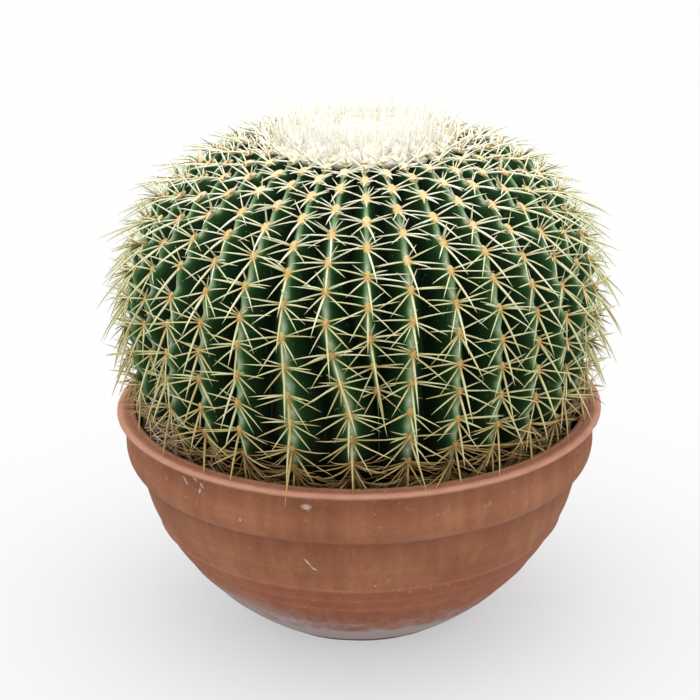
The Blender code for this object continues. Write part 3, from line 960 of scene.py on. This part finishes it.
def make_spine_row(rib, shapes, felt, horn):
    cluster = Cluster()
    luck = random.Random(500 + rib)
    for run in CUSHIONS[rib]:
        point, outward, down, sideways = crest_frame(rib, run)
        radius, height, _ = on_crest(run)
        rise = max(0.0, (run - WAIST_RUN) / (CREST_LENGTH - WAIST_RUN))
        crown = smooth(0.62, 0.76, rise)
        low = 1 - smooth(0.22, 0.84, run / WAIST_RUN)
        # spines grow paler upwards; the near white at the crown (the crown share) is partly young
        # spines' cream and partly a painted highlight of the brightly lit top
        tone = 0.50 + 0.28 * smooth(0.0, 0.6, rise) + 0.22 * crown - 0.34 * low
        wool = 0.44 + 0.16 * smooth(0.05, 0.5, rise) + 0.40 * crown - 0.40 * low
        wide = (2.1 + 1.1 * smooth(0.1, 0.6, rise)) * MM
        tall = (2.9 + 2.4 * smooth(0.1, 0.6, rise)) * MM
        cluster.lump(shapes["pad"], point + outward * 0.1 * MM,
                     [sideways * 2 * wide, outward * wide, down * 2 * tall],
                     wool + luck.uniform(-0.06, 0.06))
        grown = 1.0 + 0.24 * low - 0.46 * smooth(0.30, 0.68, rise)
        lift_more = 6 * smooth(0.15, 0.45, rise) + 20 * crown
        listed = [(kind, side, 0.0) for kind in RADIALS for side in (1, -1)]
        listed += [(kind, 1, 0.0) for kind in CENTRALS[:1 if rise > 0.45 else None]]
        if low > 0.3:
            listed += [(luck.choice(RADIALS[2:5]), luck.choice((1, -1)), 1.0)
                       for _ in range(round(14 * low))]
        if radius < 1.10 * WOOL_RADIUS:
            listed = [(YOUNG, luck.uniform(-1, 1), 0.0) for _ in range(4)]
        for (turn, lift, length, width, droop, odds), side, stray in listed:
            if luck.random() > odds:
                continue
            level = 35 < turn < 130
            if level:
                turn *= 1 - 0.30 * low
            turn = math.radians(side * turn + luck.gauss(0, 7 + 10 * stray))
            lift = math.radians(min(84, max(6, lift + lift_more + luck.gauss(0, 7 + 6 * stray))))
            flat = down * math.cos(turn) + sideways * math.sin(turn)
            way = (flat * math.cos(lift) + outward * math.sin(lift)).normalized()
            size = length * grown * luck.uniform(0.82, 1.15) * MM
            bend = (down * 0.6 - UP * 0.4).normalized() * droop \
                - outward * luck.uniform(0.0, 0.10) + down * luck.uniform(-0.05, 0.05)
            if level:
                # the lowest spines were pushed down by the rim and grew up again
                bend += UP * low * luck.uniform(0.20, 0.60)
            else:
                bend -= UP * 0.08 * low
            root = point + outward * 0.5 * MM + flat * 0.9 * MM \
                + down * 1.6 * MM * math.cos(turn)
            shape = shapes["stout"] if width > 1.25 else shapes["slim"]
            cluster.spine(shape, root, way, bend, size,
                          width * luck.uniform(0.9, 1.12) * (1 - 0.3 * stray) * MM,
                          tone + luck.uniform(-0.08, 0.08) - 0.14 * stray)
    number = f"{rib + 1:02d}"
    row = cluster.piece(f"spines_rib_{number}", felt, horn)
    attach(row, "root")
    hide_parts(f"spine_row_{number}")


# ---------------------------------------------------------------- crown
# edges of the felt and the hair, in shares of the wool's own radius
FELT_EDGE = 1.11
HAIR_EDGE = 1.15
DOME_EDGE = 1.09
FELT_DOME = 6.5 * MM
HAIR_DOME = 5.0 * MM
TUFT_HEIGHT = 1.3 * MM
RIDGE_HEIGHT = 0.8 * MM
WOOL_SWELL = 4 * MM
HAIR_COUNT = 2600
HAIR_WIDTH = 0.32 * MM


def make_crown(shapes, wool, hair):
    base = PROFILE[-1][1]
    bm = bmesh.new()
    bm.loops.layers.uv.new("OFBake")
    tone_mark = bm.verts.layers.float.new("tone")
    bmesh.ops.create_icosphere(bm, subdivisions=6, radius=1.0, calc_uvs=True)
    for vert in bm.verts:
        flat = vert.co.copy()
        radius = WOOL_RADIUS * FELT_EDGE * flat.xy.length
        angle = math.atan2(flat.y, flat.x)
        ridge = 0.5 + 0.5 * math.cos(RIBS * angle)
        tuft = noise.noise(Vector((flat.x, flat.y, 0.0)) * 9) \
            + 0.5 * noise.noise(Vector((flat.x, flat.y, 4.0)) * 24)
        share = radius / WOOL_RADIUS
        top = FELT_DOME * max(0.0, 1 - (share / DOME_EDGE) ** 3) + TUFT_HEIGHT * tuft \
            + RIDGE_HEIGHT * ridge * share
        floor = WOOL_SWELL * (smooth(0.2, 0.8, share) - smooth(0.86, FELT_EDGE, share))
        height = base + floor + (top if flat.z >= 0 else -3 * MM)
        vert.co = leaning(around(radius, angle, height))
        vert[tone_mark] = max(0.0, min(1.0, 0.62 + 0.55 * tuft - 0.10 * ridge * share))
    bmesh.ops.recalc_face_normals(bm, faces=bm.faces)
    felt = piece_from(bm, "crown_felt", wool)
    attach(felt, "root")
    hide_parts("crown_wool")

    cluster = Cluster()
    for _ in range(HAIR_COUNT):
        angle = chance.uniform(0, 2 * math.pi)
        radius = WOOL_RADIUS * HAIR_EDGE * math.sqrt(chance.random())
        share = radius / WOOL_RADIUS
        height = base + WOOL_SWELL * (smooth(0.2, 0.8, share) - smooth(0.86, HAIR_EDGE, share)) \
            + HAIR_DOME * max(0.0, 1 - (share / DOME_EDGE) ** 3)
        way = Vector((chance.gauss(0, 0.7), chance.gauss(0, 0.7), chance.uniform(0.15, 1.0)))
        bend = Vector((chance.gauss(0, 0.4), chance.gauss(0, 0.4), -0.2))
        cluster.spine(shapes["hair"], leaning(around(radius, angle, height)),
                      way.normalized(), bend, chance.uniform(4, 9) * MM, HAIR_WIDTH, 1.0)
    made = cluster.piece("crown_hair", hair, hair)
    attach(made, "root")


# ---------------------------------------------------------------- small finds
# the tuft of down: its middle and spread in degrees, its inner and outer edge
DOWN_COUNT = 190
DOWN_ANGLE = (-160, 11)
DOWN_RING = (0.118, 0.151)
DOWN_WIDTH = 0.42 * MM
# grass blades: where they stand across, length and width in mm
GRASS_BLADES = ((0.004, 45, 0.9), (0.011, 28, 0.7))
GRASS_PLACE = -0.1430


def make_fluff(shapes, hair):
    """A tuft of white seed down caught at the rim."""
    cluster = Cluster()
    for _ in range(DOWN_COUNT):
        angle = math.radians(chance.gauss(*DOWN_ANGLE))
        radius = chance.uniform(*DOWN_RING)
        root = around(radius, angle, RIM_HEIGHT + chance.uniform(-4, 16) * MM)
        way = Vector((chance.gauss(0.8, 0.5), chance.gauss(0.1, 0.6), chance.gauss(0.15, 0.3)))
        bend = Vector((chance.gauss(0, 0.3), chance.gauss(0, 0.3), -chance.uniform(0, 0.4)))
        cluster.spine(shapes["hair"], root, way.normalized(), bend,
                      chance.uniform(12, 34) * MM, DOWN_WIDTH, 0.9)
    made = cluster.piece("seed_down", hair, hair)
    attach(made, "root")


def make_grass(shapes, green):
    """Two thin blades of a seedling grass by the front of the rim."""
    cluster = Cluster()
    for x, length, width in GRASS_BLADES:
        root = Vector((x, GRASS_PLACE, SOIL_HEIGHT - 1 * MM))
        way = Vector((0.62, 0.0, 0.78))
        cluster.spine(shapes["hair"], root, way, Vector((0.35, 0.0, -0.25)), length * MM,
                      width * MM, 0.5)
    made = cluster.piece("grass_blades", green, green)
    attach(made, "root")


# ---------------------------------------------------------------- stage
CAMERA_TILT = math.radians(20.53)
CAMERA_ROLL = math.radians(-0.67)
CAMERA_DISTANCE = 1.40
CAMERA_AIM = Vector((-5.7 * MM, 0.0, RIM_HEIGHT + 33.2 * MM))
CAMERA_LENS = 108.8
SKY_EDGE = 0.80
SKY_TOP = 2.9
FLOOR_GLOW = 0.51


def make_camera():
    data = bpy.data.cameras.new("camera")
    data.lens = CAMERA_LENS
    data.sensor_width = 36.0
    camera = bpy.data.objects.new("camera", data)
    bpy.context.scene.collection.objects.link(camera)
    look = Vector((0.0, math.cos(CAMERA_TILT), -math.sin(CAMERA_TILT)))
    level = Vector((1.0, 0.0, 0.0))
    above = level.cross(look)
    right = level * math.cos(CAMERA_ROLL) + above * math.sin(CAMERA_ROLL)
    above = right.cross(look)
    turn = Matrix((right, above, -look)).transposed().to_4x4()
    camera.matrix_world = Matrix.Translation(CAMERA_AIM - look * CAMERA_DISTANCE) @ turn
    bpy.context.scene.camera = camera


def make_light(name, place, size, power):
    data = bpy.data.lights.new(name, "AREA")
    data.shape = "DISK"
    data.size = size
    data.energy = power
    light = bpy.data.objects.new(name, data)
    bpy.context.scene.collection.objects.link(light)
    light.location = place
    aim = Vector((0.0, 0.0, 0.2)) - Vector(place)
    light.rotation_euler = aim.to_track_quat("-Z", "Y").to_euler()


def make_stage():
    bm = bmesh.new()
    bmesh.ops.create_circle(bm, cap_ends=True, segments=96, radius=6.0)
    material = new_material("pale_floor", Roughness=0.9, Specular_IOR_Level=0.1,
                            Emission_Color=(1, 1, 1, 1), Emission_Strength=FLOOR_GLOW,
                            Base_Color="#848484")[0]
    floor = piece_from(bm, "floor", material)
    world = bpy.data.worlds.new("pale_sky")
    world.use_nodes = True
    sky = world.node_tree
    way = node(sky, "TexCoord", out="Object")
    climb = node(sky, "SeparateXYZ", {"Vector": way}, "Z")
    glow = node(sky, "MapRange", {"Value": climb, "From Min": 0.45, "From Max": 0.95,
                                  "To Min": SKY_EDGE, "To Max": SKY_TOP},
                interpolation_type="SMOOTHSTEP")
    feed(sky, sky.nodes["Background"], {"Strength": glow, "Color": (1, 1, 1, 1)})
    bpy.context.scene.world = world
    bpy.context.scene.view_settings.view_transform = "Standard"
    make_light("overhead", (0.0, 0.1, 3.2), 3.0, 30)


# ---------------------------------------------------------------- all of it
def main():
    make_camera()
    make_stage()
    clay = clay_material()
    earth = soil_material()
    horn = spine_material()
    felt = felt_material("cushion_felt", "#775a30", "#c3a15d", "#ece0bd")
    wool = felt_material("crown_wool_felt", "#a09781", "#cbc6b9", "#dedad0")
    white_hair = hair_material("white_plant_hair", "#d2cdbf", "#e2dfd6", 0.6)
    down = hair_material("seed_down_hair", "#eeeae0", "#fbfaf6", 0.6)
    green = hair_material("grass_blade", "#6ba045", "#a3cf6c", 0.5)
    shapes = {"pad": pebble_shape(2), "pebble": pebble_shape(1),
              "stout": spine_shape(6, 3), "slim": spine_shape(5, 2),
              "hair": spine_shape(3, 3)}
    make_bowl(clay)
    make_soil(earth)
    make_grit(shapes["pebble"], grit_material())
    make_shed_spines(shapes["slim"], felt, horn)
    make_stem(skin_material())
    for rib in range(RIBS):
        make_spine_row(rib, shapes, felt, horn)
    make_crown(shapes, wool, white_hair)
    make_fluff(shapes, down)
    make_grass(shapes, green)


main()
